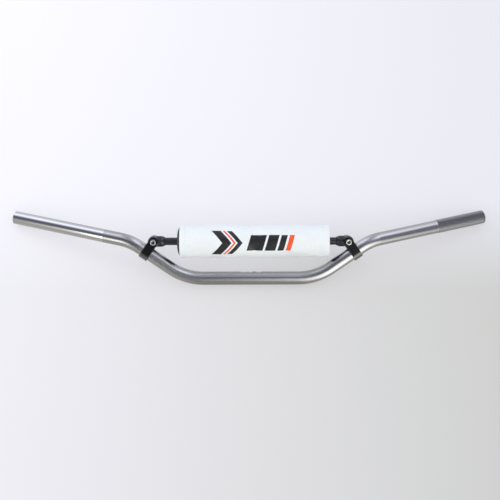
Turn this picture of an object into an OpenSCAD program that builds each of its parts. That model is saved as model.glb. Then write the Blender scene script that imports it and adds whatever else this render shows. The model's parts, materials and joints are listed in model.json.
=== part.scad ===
// Motorcycle handlebar with a clamped-on crossbar and a wrap-round crossbar pad.
//
// Millimetres. The origin is the middle of the straight centre length, on the tube's axis.
// +X runs to the rider's left, +Y back towards the rider, +Z up.
// The grips rise out of the XY plane and sweep back towards +Y.
// Names with left and right are the rider's left (+X) and right (-X).

/* [Handlebar tube] */
// outside diameter of the tube, nominally 7/8 inch
bar_d = 22.2; // [21:0.1:24]
// wall thickness of the tube
bar_wall = 4; // [2.5:0.1:5]
// width over the two ends
overall_w = 800; // [740:1:860]
// length of the straight in the middle, where the steering clamp holds
centre_len = 157; // [150:1:170]
// angle of each riser above the centre straight, in degrees
rise_angle = 34.5; // [30:0.5:38]
// centreline radius of the bend from the centre straight to a riser
rise_bend_r = 94; // [80:1:100]
// length of the straight part of each riser
riser_len = 62; // [58:1:70]
// centreline radius of the bend from a riser to a grip
grip_bend_r = 68; // [55:1:80]
// how far the grips sweep back towards the rider, in degrees
sweep_angle = 15; // [8:0.5:20]
// how far the grips climb towards their ends, in degrees
upsweep_angle = 10; // [4:0.5:14]

/* [Crossbar] */
// outside diameter of the crossbar tube
cross_d = 12.5; // [12:0.1:14]
// wall thickness of the crossbar tube
cross_wall = 1.6; // [1.2:0.1:2]
// diameter of an end fitting's body
end_d = 18; // [17:0.1:19]
// diameter of an end fitting where the crossbar tube meets it
end_mouth_d = 13.6; // [13.3:0.1:15]
// length over which an end fitting swells from its mouth to its body
end_shoulder_len = 8; // [4:0.1:9]
// distance from an end fitting's mouth to its screw
end_reach = 19; // [17:0.5:22]
// length of the spigot an end fitting pushes into the crossbar tube
spigot_len = 20; // [12:1:30]
// outside diameter of the bush through an end fitting
bush_d = 9; // [8.4:0.1:10]

/* [Clamps] */
// how far up a riser's straight each clamp sits
clamp_at = 48.3; // [44:0.1:52]
// distance from the handlebar's axis to the screw's axis
clamp_reach = 21.3; // [21:0.1:24]
// width of a clamp along the handlebar
clamp_w = 15.4; // [13:0.1:17]
// thickness of a clamp's strap
strap_t = 2.5; // [2.4:0.1:3]
// radius of the rounded end of each ear, about the screw
ear_r = 8.3; // [7.8:0.1:9]

/* [Screws and nuts] */
// thread diameter of a clamp screw
screw_d = 6; // [6:0.1:6.2]
// length of a clamp screw under its head
screw_len = 35; // [35:0.5:40]
// diameter of the screw's cap head
head_d = 10; // [9.5:0.1:10.5]
// height of the screw's cap head
head_h = 6; // [5:0.5:6.5]
// width across the flats of the head's hexagon socket
socket_af = 5; // [4:0.5:5]
// depth of the hexagon socket
socket_depth = 3.2; // [2:0.1:4]
// outside diameter of a flat washer
washer_d = 11; // [10.5:0.5:12]
// thickness of a flat washer
washer_t = 0.8; // [0.6:0.1:1]
// width across the flats of a lock nut
nut_af = 10; // [10:0.1:11]
// height of a lock nut, with its collar
nut_h = 6; // [5.5:0.1:6.5]

/* [Pad] */
// outside diameter of the pad's cover
pad_d = 54.6; // [50:0.2:56]
// length of the cover
pad_len = 244.2; // [220:0.2:250]
// how far the pad sits from the middle of the crossbar
pad_shift = 5.5; // [0:0.5:7]
// thickness of the cover
cover_t = 1.2; // [1:0.1:2]
// how far the foam shows past the cover at its right end
foam_out = 4.6; // [2:0.1:5]
// how far the foam sits inside the cover at its left end
foam_in = 2; // [1:0.5:5]
// how much smaller the foam is at its ends than in its middle, on the radius
foam_end_drop = 2.4; // [1:0.1:4]
// length along the foam over which it narrows to its ends
foam_end_len = 3.4; // [2:0.1:5]
// width of the slit that lets the foam over the crossbar
slit_w = 1; // [0.6:0.1:2]
// length of the closing flap at the back of the cover
flap_len = 200; // [160:1:204]
// thickness of one hook-and-loop strip
strip_t = 0.85; // [0.7:0.05:1]

/* [Hidden] */
$fn = 96;

// gaps: parts that are bolted up close, parts that slide or turn, and drilled clearance
snug = 0.02;
running = 0.06;
loose = 0.2;
past = 1;

// the tube necks down a hair in its bends, and each straight laps into the bend next to it
neck = 0.05;
lap = 1.5;

bar_r = bar_d / 2;
bore_r = bar_r - bar_wall;

// directions, with X along the riser and Z square to it
grip_raw = [1, tan(sweep_angle), tan(upsweep_angle)];
grip_dir = grip_raw / norm(grip_raw);
riser_x = [cos(rise_angle), 0, sin(rise_angle)];
riser_z = [-sin(rise_angle), 0, cos(rise_angle)];
grip_bend_angle = acos(grip_dir * riser_x);
grip_bend_turn = atan2(-grip_dir[1], grip_dir * riser_z);
grip_bend_z = [
    -riser_x[0] * cos(grip_bend_angle) + grip_dir[0],
    grip_dir[1],
    -riser_x[2] * cos(grip_bend_angle) + grip_dir[2]
] / sin(grip_bend_angle);

// where the straights start and stop
riser_start = [
    centre_len / 2 + rise_bend_r * sin(rise_angle),
    0,
    rise_bend_r * (1 - cos(rise_angle))
];
riser_end = riser_start + riser_len * riser_x;
grip_start = riser_end
    + grip_bend_r * sin(grip_bend_angle) * riser_x
    + grip_bend_r * (1 - cos(grip_bend_angle)) * grip_bend_z;
tip_rim = bar_r * sqrt(1 - grip_dir[0] * grip_dir[0]);
grip_len = (overall_w / 2 - tip_rim - grip_start[0]) / grip_dir[0];

// the clamp's seat on the riser, and the screw's axis
clamp_seat = riser_start + clamp_at * riser_x;
pivot = clamp_seat + clamp_reach * riser_z;
ear_in = bar_r + snug;
ear_out = ear_in + strap_t;
screw_r = screw_d / 2;

// stack along the screw, measured from the middle of the bar
washer_face = ear_out + running / 2;
head_face = washer_face + washer_t + running / 2;
nut_face = washer_face + washer_t + snug;
collar_h = 1.4;
collar_r = nut_af / 2 - 0.2;
ring_h = 1.2;
ring_r = 4.1;

// crossbar
cross_r = cross_d / 2;
cross_bore_r = cross_r - cross_wall;
mouth_x = pivot[0] - end_reach;
eye_r = end_d / 2 + 0.3;

// pad
cover_r = pad_d / 2;
cover_in_r = cover_r - cover_t;
foam_r = cover_in_r - running;
foam_bore_r = cross_r + running;
cover_left = pad_shift + pad_len / 2;
cover_right = pad_shift - pad_len / 2;
foam_left = cover_left - foam_in;
foam_right = cover_right - foam_out;
hook_in_r = cover_r + snug;
hook_out_r = hook_in_r + strip_t;
loop_in_r = hook_out_r + snug;
loop_out_r = loop_in_r + strip_t;
flap_in_r = loop_out_r + snug;
flap_out_r = flap_in_r + 1;
flap_low = -24;
flap_high = 30;
flap_fold = 26;
strip_half = 22;
strip_margin = 3;

// straight tube along +X from the local origin
module run(length, radius, lap_start, lap_end) {
    translate([-lap_start, 0, 0])
        rotate([0, 90, 0])
            cylinder(r = radius, h = lap_start + length + lap_end);
}

// bend that leaves the local origin along +X and turns towards +Z
module bend(bend_r, angle, radius) {
    translate([0, 0, bend_r])
        rotate([90, 0, 0])
            rotate([0, 0, -90])
                rotate_extrude(angle = angle)
                    translate([bend_r, 0])
                        circle(r = radius - neck);
}

// carries its children to the far end of such a bend
module past_bend(bend_r, angle) {
    translate([bend_r * sin(angle), 0, bend_r * (1 - cos(angle))])
        rotate([0, -angle, 0])
            children();
}

// one side of the handlebar, from the end of the centre straight to the tip
module bar_side(radius, tip_extra) {
    translate([centre_len / 2, 0, 0]) {
        bend(rise_bend_r, rise_angle, radius);
        past_bend(rise_bend_r, rise_angle) {
            run(riser_len, radius, lap, lap);
            translate([riser_len, 0, 0])
                rotate([grip_bend_turn, 0, 0]) {
                    bend(grip_bend_r, grip_bend_angle, radius);
                    past_bend(grip_bend_r, grip_bend_angle)
                        run(grip_len, radius, lap, tip_extra);
                }
        }
    }
}

module bar_solid(radius, tip_extra) {
    translate([-centre_len / 2, 0, 0])
        run(centre_len, radius, lap, lap);
    bar_side(radius, tip_extra);
    mirror([1, 0, 0])
        bar_side(radius, tip_extra);
}

// puts children drawn for the rider's left side on the right side
module on_right() {
    mirror([1, 0, 0])
        children();
}

// frame on the screw's axis of the rider's left clamp, with local Z from front to back
module at_pivot() {
    translate(pivot)
        rotate([-90, 0, 0])
            children();
}

module handlebar_tube() {
    color("silver")
        difference() {
            bar_solid(bar_r, 0);
            bar_solid(bore_r, past);
        }
}

// half disc below the origin with a straight tongue of the same width above it
module tongue(radius, height) {
    difference() {
        circle(r = radius);
        translate([-radius - past, 0])
            square([2 * (radius + past), radius + past]);
    }
    translate([-radius, 0])
        square([2 * radius, height]);
}

// outline of the bent strap, seen along the handlebar
module strap_outline() {
    top = clamp_reach + ear_r + past;
    difference() {
        tongue(ear_out, top);
        tongue(ear_in, top + past);
    }
}

module clamp() {
    color("#202124")
        difference() {
            intersection() {
                translate(clamp_seat)
                    rotate([0, -rise_angle, 0])
                        translate([-clamp_w / 2, 0, 0])
                            rotate([90, 0, 90])
                                linear_extrude(height = clamp_w)
                                    strap_outline();
                union() {
                    at_pivot()
                        cylinder(r = ear_r, h = 4 * ear_out, center = true);
                    translate(clamp_seat)
                        rotate([0, -rise_angle, 0])
                            translate([-clamp_w, -2 * ear_out, -2 * ear_out])
                                cube([2 * clamp_w, 4 * ear_out, 2 * ear_out + clamp_reach]);
                }
            }
            at_pivot()
                cylinder(r = screw_r + loose, h = 4 * ear_out, center = true);
        }
}

module clamp_screw() {
    tip_len = 0.8;
    rim = 0.5;
    color("#c9c9cc")
        at_pivot()
            difference() {
                union() {
                    translate([0, 0, -head_face - head_h + rim])
                        cylinder(r = head_d / 2, h = head_h - rim);
                    translate([0, 0, -head_face - head_h])
                        cylinder(r1 = head_d / 2 - rim, r2 = head_d / 2, h = rim);
                    translate([0, 0, -head_face - past])
                        cylinder(r = screw_r, h = screw_len - tip_len + past);
                    translate([0, 0, -head_face + screw_len - tip_len])
                        cylinder(r1 = screw_r, r2 = screw_r - tip_len, h = tip_len);
                }
                translate([0, 0, -head_face - head_h - past])
                    cylinder(d = socket_af / cos(30), h = socket_depth + past, $fn = 6);
            }
}

module washer_at(z) {
    at_pivot()
        translate([0, 0, z])
            difference() {
                cylinder(d = washer_d, h = washer_t);
                translate([0, 0, -past])
                    cylinder(r = screw_r + loose, h = washer_t + 2 * past);
            }
}

module screw_washer() {
    color("#202124")
        washer_at(-washer_face - washer_t);
}

module nut_washer() {
    color("#b9babd")
        washer_at(washer_face);
}

module clamp_nut() {
    color("#b4b5b8")
        at_pivot()
            translate([0, 0, nut_face])
                difference() {
                    union() {
                        cylinder(d = nut_af / cos(30), h = nut_h - collar_h, $fn = 6);
                        cylinder(r = collar_r, h = nut_h);
                    }
                    translate([0, 0, -past])
                        cylinder(r = screw_r + running, h = nut_h + 2 * past);
                    translate([0, 0, nut_h - ring_h])
                        cylinder(r = ring_r + snug, h = ring_h + past);
                }
}

module nut_lock_ring() {
    color("#3d62a8")
        at_pivot()
            translate([0, 0, nut_face + nut_h - ring_h + snug])
                difference() {
                    cylinder(r = ring_r, h = ring_h - snug);
                    translate([0, 0, -past])
                        cylinder(r = screw_r + snug, h = ring_h + 2 * past);
                }
}

module crossbar_tube() {
    half = mouth_x - snug;
    color("#1d1e21")
        translate([-half, 0, pivot[2]])
            rotate([0, 90, 0])
                difference() {
                    cylinder(r = cross_r, h = 2 * half);
                    translate([0, 0, -past])
                        cylinder(r = cross_bore_r, h = 2 * (half + past));
                }
}

// turned body of an end fitting, as half of its section; the shoulder is a parabola
module end_section() {
    mouth_r = end_mouth_d / 2;
    swell = end_d / 2 - mouth_r;
    steps = 6;
    polygon([
        [0, 0],
        for (i = [0:steps - 1])
            [end_d / 2 - swell * pow(1 - i / steps, 2), end_shoulder_len * i / steps],
        [end_d / 2, end_shoulder_len],
        [end_d / 2, end_reach],
        [0, end_reach]
    ]);
}

module crossbar_end() {
    color("#232427")
        difference() {
            union() {
                translate([mouth_x, 0, pivot[2]])
                    rotate([0, 90, 0]) {
                        rotate_extrude()
                            end_section();
                        translate([0, 0, -spigot_len])
                            cylinder(r = cross_bore_r - snug, h = spigot_len + past);
                    }
                at_pivot()
                    cylinder(r = eye_r, h = 2 * (ear_in - running), center = true);
            }
            at_pivot()
                cylinder(d = bush_d + 2 * snug, h = 4 * ear_in, center = true);
        }
}

module pivot_bush() {
    color("#9a8f6a")
        at_pivot()
            difference() {
                cylinder(d = bush_d, h = 2 * (ear_in - snug), center = true);
                cylinder(r = screw_r + loose / 2, h = 4 * ear_in, center = true);
            }
}

// lays a shape drawn along +Z from the local origin on the crossbar's axis, from x onwards
module on_crossbar(x) {
    translate([x, 0, pivot[2]])
        rotate([90, 0, 90])
            children();
}

module foam_section() {
    length = foam_left - foam_right;
    end_r = foam_r - foam_end_drop;
    // the ends are low domes, and the foam widens behind them
    polygon([
        [foam_bore_r, 0],
        [0.5 * end_r, 0.06 * foam_out],
        [0.75 * end_r, 0.32 * foam_out],
        [0.9 * end_r, 0.66 * foam_out],
        [end_r, foam_out],
        [foam_r, foam_out + foam_end_len],
        [foam_r, length - foam_out - foam_end_len],
        [end_r, length - foam_out],
        [0.9 * end_r, length - 0.66 * foam_out],
        [0.75 * end_r, length - 0.32 * foam_out],
        [0.5 * end_r, length - 0.06 * foam_out],
        [foam_bore_r, length]
    ]);
}

module pad_foam() {
    color("#18181a")
        difference() {
            on_crossbar(foam_right)
                rotate_extrude()
                    foam_section();
            translate([foam_right - past, 0, pivot[2] - slit_w / 2])
                cube([foam_left - foam_right + 2 * past, pad_d, slit_w]);
        }
}

// wedge of a disc between two angles less than half a turn apart, from the +X direction
module wedge(radius, from, to) {
    far = 2 * radius;
    middle = (from + to) / 2;
    intersection() {
        circle(r = radius);
        polygon([
            [0, 0],
            far * [cos(from), sin(from)],
            far * [cos(middle), sin(middle)],
            far * [cos(to), sin(to)]
        ]);
    }
}

module ring_part(inner, outer, from, to) {
    difference() {
        wedge(outer, from, to);
        circle(r = inner);
    }
}

module pad_cover() {
    color("#f0f0f2") {
        on_crossbar(cover_right)
            linear_extrude(height = pad_len)
                difference() {
                    circle(r = cover_r);
                    circle(r = cover_in_r);
                }
        on_crossbar(pad_shift - flap_len / 2)
            linear_extrude(height = flap_len)
                difference() {
                    ring_part(cover_r - cover_t / 2, flap_out_r, flap_low, flap_high);
                    wedge(flap_in_r, flap_low - past, flap_fold);
                }
    }
}

module closing_strip(inner, outer) {
    length = flap_len - 2 * strip_margin;
    on_crossbar(pad_shift - length / 2)
        linear_extrude(height = length)
            ring_part(inner, outer, -strip_half, strip_half);
}

module pad_hook_strip() {
    color("#2a2a2c")
        closing_strip(hook_in_r, hook_out_r);
}

module pad_loop_strip() {
    color("#3a3a3d")
        closing_strip(loop_in_r, loop_out_r);
}

module left_clamp() clamp();
module right_clamp() on_right() clamp();
module left_clamp_screw() clamp_screw();
module right_clamp_screw() on_right() clamp_screw();
module left_screw_washer() screw_washer();
module right_screw_washer() on_right() screw_washer();
module left_clamp_nut() clamp_nut();
module right_clamp_nut() on_right() clamp_nut();
module left_nut_washer() nut_washer();
module right_nut_washer() on_right() nut_washer();
module left_nut_lock_ring() nut_lock_ring();
module right_nut_lock_ring() on_right() nut_lock_ring();
module left_crossbar_end() crossbar_end();
module right_crossbar_end() on_right() crossbar_end();
module left_pivot_bush() pivot_bush();
module right_pivot_bush() on_right() pivot_bush();

handlebar_tube();
left_clamp();
right_clamp();
left_clamp_screw();
right_clamp_screw();
left_screw_washer();
right_screw_washer();
left_clamp_nut();
right_clamp_nut();
left_nut_washer();
right_nut_washer();
left_nut_lock_ring();
right_nut_lock_ring();
crossbar_tube();
left_crossbar_end();
right_crossbar_end();
left_pivot_bush();
right_pivot_bush();
pad_foam();
pad_cover();
pad_hook_strip();
pad_loop_strip();
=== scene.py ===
import json
from math import asin, atan2, copysign, cos, exp, hypot, pi, radians, sin, sqrt, tan

import bmesh
import bpy
import numpy as np
from mathutils import Matrix, Vector, noise


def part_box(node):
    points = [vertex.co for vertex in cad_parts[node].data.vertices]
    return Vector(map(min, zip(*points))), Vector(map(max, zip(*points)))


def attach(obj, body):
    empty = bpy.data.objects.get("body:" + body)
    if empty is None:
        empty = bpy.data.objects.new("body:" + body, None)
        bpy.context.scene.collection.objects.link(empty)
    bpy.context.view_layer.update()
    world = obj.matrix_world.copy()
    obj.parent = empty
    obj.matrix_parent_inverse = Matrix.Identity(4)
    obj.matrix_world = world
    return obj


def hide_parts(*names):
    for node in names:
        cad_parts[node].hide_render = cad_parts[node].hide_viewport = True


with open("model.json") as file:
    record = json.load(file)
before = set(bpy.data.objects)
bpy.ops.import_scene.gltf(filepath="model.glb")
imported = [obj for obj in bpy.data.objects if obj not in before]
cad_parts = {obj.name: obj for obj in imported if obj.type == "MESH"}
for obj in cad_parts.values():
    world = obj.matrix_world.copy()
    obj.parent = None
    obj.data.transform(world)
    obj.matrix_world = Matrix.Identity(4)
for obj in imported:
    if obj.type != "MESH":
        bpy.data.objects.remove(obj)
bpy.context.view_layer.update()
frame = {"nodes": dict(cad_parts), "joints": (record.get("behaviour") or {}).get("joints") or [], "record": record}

MM = 0.001
TAU = 2 * pi

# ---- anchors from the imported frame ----
JOINTS = {j["name"]: j for j in frame["joints"]}
MOUNTS = {m["name"]: m for m in frame["record"]["mounts"]}
PIVOT = Vector(JOINTS["left_screw_turn"]["pos_m"])
CROSS_Z = PIVOT.z
SCREW_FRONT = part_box("left_clamp_screw")[0].y
BAR_R = MOUNTS["centre_clamp_zone"]["dims"]["r_mm"] * MM
CROSS_R = (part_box("crossbar_tube")[1].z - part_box("crossbar_tube")[0].z) / 2
GRIP_DIR = Vector(MOUNTS["left_grip_seat"]["axis"]).normalized()
GRIP_LEN = MOUNTS["left_grip_seat"]["dims"]["length_mm"] * MM
LEFT_TIP = Vector(MOUNTS["left_grip_seat"]["pos_m"]) + GRIP_DIR * GRIP_LEN / 2
RIGHT_TIP = Vector((-LEFT_TIP.x, LEFT_TIP.y, LEFT_TIP.z))
RIGHT_DIR = Vector((-GRIP_DIR.x, GRIP_DIR.y, GRIP_DIR.z))
COVER_LO, COVER_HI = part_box("pad_cover")
FOAM_LO, FOAM_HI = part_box("pad_foam")
COVER_R = -COVER_LO.y


# ---- node helpers ----
class Tree:
    """Short ways to wire a material's nodes."""

    def __init__(self, tree):
        self.t = tree
        self.t.nodes.clear()

    def new(self, kind, **props):
        n = self.t.nodes.new(kind)
        for k, v in props.items():
            setattr(n, k, v)
        return n

    def put(self, socket, value):
        if isinstance(value, bpy.types.NodeSocket):
            self.t.links.new(value, socket)
        elif value is not None:
            socket.default_value = value

    def math(self, op, a, b=None, c=None):
        n = self.new("ShaderNodeMath", operation=op)
        for s, v in zip(n.inputs, (a, b, c)):
            self.put(s, v)
        return n.outputs[0]

    def mul(self, a, b):
        return self.math("MULTIPLY", a, b)

    def add(self, a, b):
        return self.math("ADD", a, b)

    def sub(self, a, b):
        return self.math("SUBTRACT", a, b)

    def top(self, a, b):
        return self.math("MAXIMUM", a, b)

    def vec(self, op, a, b=None, scale=None):
        n = self.new("ShaderNodeVectorMath", operation=op)
        self.put(n.inputs[0], a)
        self.put(n.inputs[1], b)
        if scale is not None:
            self.put(n.inputs["Scale"], scale)
        return n.outputs["Value"] if op in ("DOT_PRODUCT", "LENGTH") else n.outputs[0]

    def lift(self, y, z):
        """Angle round X: 0 to the front, a quarter turn straight up."""
        return self.math("ARCTAN2", z, self.mul(y, -1.0))

    def split(self, v):
        n = self.new("ShaderNodeSeparateXYZ")
        self.put(n.inputs[0], v)
        return n.outputs

    def noise(self, vector, scale, detail, rough):
        n = self.new("ShaderNodeTexNoise")
        self.put(n.inputs["Vector"], vector)
        self.put(n.inputs["Scale"], scale)
        self.put(n.inputs["Detail"], detail)
        self.put(n.inputs["Roughness"], rough)
        return n.outputs["Fac"]

    def voronoi(self, vector, scale):
        n = self.new("ShaderNodeTexVoronoi")
        self.put(n.inputs["Vector"], vector)
        self.put(n.inputs["Scale"], scale)
        return n.outputs["Distance"]

    def remap(self, v, a, b, c=0.0, d=1.0, smooth=False):
        n = self.new("ShaderNodeMapRange")
        n.interpolation_type = "SMOOTHSTEP" if smooth else "LINEAR"
        n.clamp = True
        for s, x in zip(n.inputs, (v, a, b, c, d)):
            self.put(s, x)
        return n.outputs[0]

    def mix(self, fac, a, b):
        """Mixes two colours."""
        n = self.new("ShaderNodeMix", data_type="RGBA")
        self.put(n.inputs[0], fac)
        self.put(n.inputs[6], a)
        self.put(n.inputs[7], b)
        return n.outputs[2]

    def mixf(self, fac, a, b):
        """Mixes two numbers."""
        n = self.new("ShaderNodeMix", data_type="FLOAT")
        self.put(n.inputs[0], fac)
        self.put(n.inputs[2], a)
        self.put(n.inputs[3], b)
        return n.outputs[0]

    def ramp(self, fac, stops):
        n = self.new("ShaderNodeValToRGB")
        e = n.color_ramp.elements
        while len(e) < len(stops):
            e.new(0.5)
        for el, (pos, col) in zip(e, stops):
            el.position = pos
            el.color = (*col, 1)
        self.put(n.inputs[0], fac)
        return n.outputs[0]

    def bump(self, height, distance, strength):
        n = self.new("ShaderNodeBump")
        n.inputs["Strength"].default_value = strength
        n.inputs["Distance"].default_value = distance
        self.put(n.inputs["Height"], height)
        return n.outputs[0]

    def place(self):
        """Where the shaded point is in the row frame, in metres."""
        return self.new("ShaderNodeTexCoord").outputs["Object"]

    def edge(self, radius):
        """0 on flat ground, rising towards 1 on rounded outer edges."""
        n = self.new("ShaderNodeBevel", samples=6)
        n.inputs["Radius"].default_value = radius
        g = self.new("ShaderNodeNewGeometry")
        d = self.vec("DOT_PRODUCT", n.outputs[0], g.outputs["Normal"])
        return self.remap(d, 1.0, 0.86)


def rgb(r, g, b):
    return (r, g, b, 1.0)


def tree_of(block):
    block.use_nodes = True
    return Tree(block.node_tree)


def material(name, build):
    """A material whose principled shader takes the values that build(tree) returns."""
    m = bpy.data.materials.new(name)
    t = tree_of(m)
    shader = t.new("ShaderNodeBsdfPrincipled")
    t.put(t.new("ShaderNodeOutputMaterial").inputs[0], shader.outputs[0])
    for key, value in build(t).items():
        t.put(shader.inputs[key], value)
    return m


# ---- materials ----
POLISHED_LEN = 163 * MM
KNURL_LEN = 88 * MM
TICK_PITCH = 2 * MM


def span(t, value, low, high):
    """1 between two limits."""
    return t.mul(t.math("GREATER_THAN", value, low), t.math("LESS_THAN", value, high))


def from_tip(t, p, tip, direction):
    """Distance inboard from a tip, along its grip."""
    return t.mul(t.vec("DOT_PRODUCT", t.vec("SUBTRACT", p, tuple(tip)), tuple(direction)), -1.0)


def bar_finish(t):
    p = t.place()
    x, y, z = t.split(p)
    left_in = from_tip(t, p, LEFT_TIP, GRIP_DIR)
    right_in = from_tip(t, p, RIGHT_TIP, RIGHT_DIR)
    polished = t.remap(right_in, POLISHED_LEN - 0.2 * MM, POLISHED_LEN + 0.2 * MM, 1.0, 0.0)
    knurled = t.remap(left_in, KNURL_LEN - 0.4 * MM, KNURL_LEN + 0.4 * MM, 1.0, 0.0)
    # fine drawing lines along the tube, much longer than they are wide
    lines = t.noise(t.vec("MULTIPLY", p, (14.0, 900.0, 900.0)), 1.0, 4.0, 0.6)
    cloud = t.noise(p, 22.0, 3.0, 0.55)
    speck = t.noise(p, 2600.0, 2.0, 0.6)
    satin = t.mix(cloud, rgb(0.44, 0.44, 0.445), rgb(0.50, 0.50, 0.505))
    satin = t.mix(t.mul(lines, 0.3), satin, rgb(0.55, 0.55, 0.555))
    bright = t.mix(cloud, rgb(0.57, 0.57, 0.58), rgb(0.64, 0.64, 0.65))
    dull = t.mix(speck, rgb(0.26, 0.26, 0.265), rgb(0.36, 0.36, 0.365))
    colour = t.mix(polished, satin, bright)
    colour = t.mix(knurled, colour, dull)
    rough = t.add(0.25, t.mul(t.sub(lines, 0.5), 0.10))
    rough = t.mixf(polished, rough, t.add(0.07, t.mul(cloud, 0.05)))
    rough = t.mixf(knurled, rough, t.add(0.40, t.mul(speck, 0.16)))
    grain = t.add(t.mul(lines, 0.5), t.mul(speck, 0.5))
    grain = t.mul(grain, t.sub(1.0, t.mul(polished, 0.85)))
    normal = t.bump(grain, 0.006 * MM, 0.5)
    # white position scale on top of the middle, and a ring where the knurling starts
    scale = t.math("GREATER_THAN", t.math("FRACT", t.mul(x, 1 / TICK_PITCH)), 0.45)
    spans = t.add(span(t, x, -18 * MM, 2 * MM), span(t, x, 8 * MM, 17 * MM))
    top = span(t, t.lift(y, z), radians(68), radians(98))
    ring = t.mul(span(t, left_in, KNURL_LEN + 1.2 * MM, KNURL_LEN + 1.8 * MM), 0.15)
    ink = t.top(t.mul(t.mul(scale, spans), top), ring)
    colour = t.mix(ink, colour, rgb(0.86, 0.86, 0.86))
    rough = t.mixf(ink, rough, 0.5)
    return {"Base Color": colour, "Metallic": t.sub(1.0, ink), "Roughness": rough,
            "Normal": normal}


def knurl_finish(t):
    """Flats of the diamonds pale, their flanks and the grooves dark with painted shade."""
    p = t.place()
    speck = t.noise(p, 1800.0, 3.0, 0.6)
    cloud = t.noise(p, 60.0, 3.0, 0.6)
    off = t.vec("SUBTRACT", p, tuple(LEFT_TIP))
    along = t.vec("SCALE", tuple(GRIP_DIR), scale=t.vec("DOT_PRODUCT", off, tuple(GRIP_DIR)))
    out = t.vec("SUBTRACT", off, along)
    crest = t.remap(t.vec("LENGTH", out), BAR_R + 0.05 * MM, BAR_R + 0.155 * MM)
    colour = t.mix(speck, rgb(0.33, 0.33, 0.345), rgb(0.46, 0.46, 0.47))
    colour = t.mix(t.mul(cloud, 0.3), colour, rgb(0.38, 0.38, 0.39))
    # painted shade: darker down the flanks and into the grooves
    colour = t.mix(crest, rgb(0.13, 0.13, 0.135), colour)
    # painted light and shade: brighter underneath, duller on the upper front, set by which way the surface faces
    _, oy, oz = t.split(out)
    facing = t.math("DEGREES", t.lift(oy, oz))
    painted_shading = t.ramp(t.remap(facing, -90.0, 90.0), [
        ((degrees + 90) / 180, (much, much, much)) for degrees, much in (
            (-63, 1.35), (-45, 1.65), (-33, 1.4), (-21, 1.0), (0, 1.05), (13, 0.95), (20, 0.72),
            (27, 0.50), (35, 0.38), (43, 0.45), (50, 0.7), (60, 1.0), (80, 1.25))])
    colour = t.vec("MULTIPLY", colour, painted_shading)
    return {"Base Color": colour, "Metallic": 1.0,
            "Roughness": t.add(0.28, t.mul(speck, 0.14)),
            "Normal": t.bump(speck, 0.03 * MM, 0.6)}


def black_coat(t):
    """Black coating over steel, rubbed bright on its outer edges."""
    p = t.place()
    grain = t.noise(p, 2400.0, 2.0, 0.6)
    cloud = t.noise(p, 120.0, 4.0, 0.6)
    wear = t.edge(0.7 * MM)
    wear = t.mul(wear, t.remap(t.noise(p, 700.0, 4.0, 0.7), 0.42, 0.62))
    base = t.mix(cloud, rgb(0.006, 0.006, 0.007), rgb(0.013, 0.013, 0.014))
    # painted shade: faces turned to the front or back get little specular and no clear coat, so the flat ears look
    # matter and darker than the bends
    ny = t.split(t.new("ShaderNodeNewGeometry").outputs["Normal"])[1]
    bent = t.remap(t.math("ABSOLUTE", ny), 0.88, 0.985, 1.0, 0.0)
    colour = t.mix(t.mul(wear, 0.5), base, rgb(0.30, 0.29, 0.28))
    return {"Base Color": colour,
            "Metallic": t.mul(wear, 0.6),
            "Roughness": t.add(0.13, t.mul(grain, 0.12)),
            "Specular IOR Level": t.mixf(bent, 0.12, 1.0),
            "Coat Weight": bent, "Coat IOR": 1.9, "Coat Roughness": 0.14,
            "Normal": t.bump(t.add(grain, t.mul(cloud, 0.6)), 0.012 * MM, 0.4)}


def black_anodised(t):
    p = t.place()
    lines = t.noise(t.vec("MULTIPLY", p, (30.0, 1200.0, 1200.0)), 1.0, 3.0, 0.6)
    cloud = t.noise(p, 90.0, 3.0, 0.6)
    colour = t.mix(cloud, rgb(0.018, 0.019, 0.024), rgb(0.030, 0.032, 0.040))
    return {"Base Color": colour, "Metallic": 0.35,
            "Roughness": t.add(0.17, t.mul(lines, 0.12)),
            "Specular IOR Level": 0.75,
            "Normal": t.bump(lines, 0.008 * MM, 0.5)}


def plated_steel(t):
    """Bright zinc plate with turning marks and a little dulling."""
    p = t.place()
    cloud = t.noise(p, 420.0, 4.0, 0.65)
    fine = t.noise(p, 3000.0, 2.0, 0.6)
    colour = t.mix(cloud, rgb(0.72, 0.72, 0.73), rgb(0.86, 0.86, 0.855))
    # painted shade in the hexagon sockets of the screws, darker from just inside the rim
    x, y, z = t.split(p)
    aside = t.sub(t.math("ABSOLUTE", x), PIVOT.x)
    aside = t.math("SQRT", t.add(t.mul(aside, aside), t.math("POWER", t.sub(z, PIVOT.z), 2.0)))
    socket = t.mul(t.math("LESS_THAN", aside, 3.0 * MM),
                   t.remap(y, SCREW_FRONT + 0.15 * MM, SCREW_FRONT + 0.9 * MM))
    socket = t.mul(socket, t.math("LESS_THAN", y, SCREW_FRONT + 4.5 * MM))
    colour = t.mix(socket, colour, rgb(0.08, 0.08, 0.08))
    # painted shade round the side of each screw head, so the bright face looks narrower than the head
    flank = t.mul(t.remap(aside, 4.35 * MM, 4.6 * MM),
                  t.math("LESS_THAN", y, SCREW_FRONT + 6.2 * MM))
    colour = t.mix(flank, colour, rgb(0.20, 0.20, 0.205))
    return {"Base Color": colour, "Metallic": 1.0,
            "Roughness": t.add(0.20, t.mul(cloud, 0.14)),
            "Normal": t.bump(t.add(fine, cloud), 0.01 * MM, 0.6)}


def bronze(t):
    p = t.place()
    cloud = t.noise(p, 300.0, 4.0, 0.6)
    colour = t.mix(cloud, rgb(0.50, 0.34, 0.15), rgb(0.66, 0.48, 0.24))
    return {"Base Color": colour, "Metallic": 1.0,
            "Roughness": t.add(0.3, t.mul(cloud, 0.15)),
            "Normal": t.bump(cloud, 0.01 * MM, 0.5)}


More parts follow.
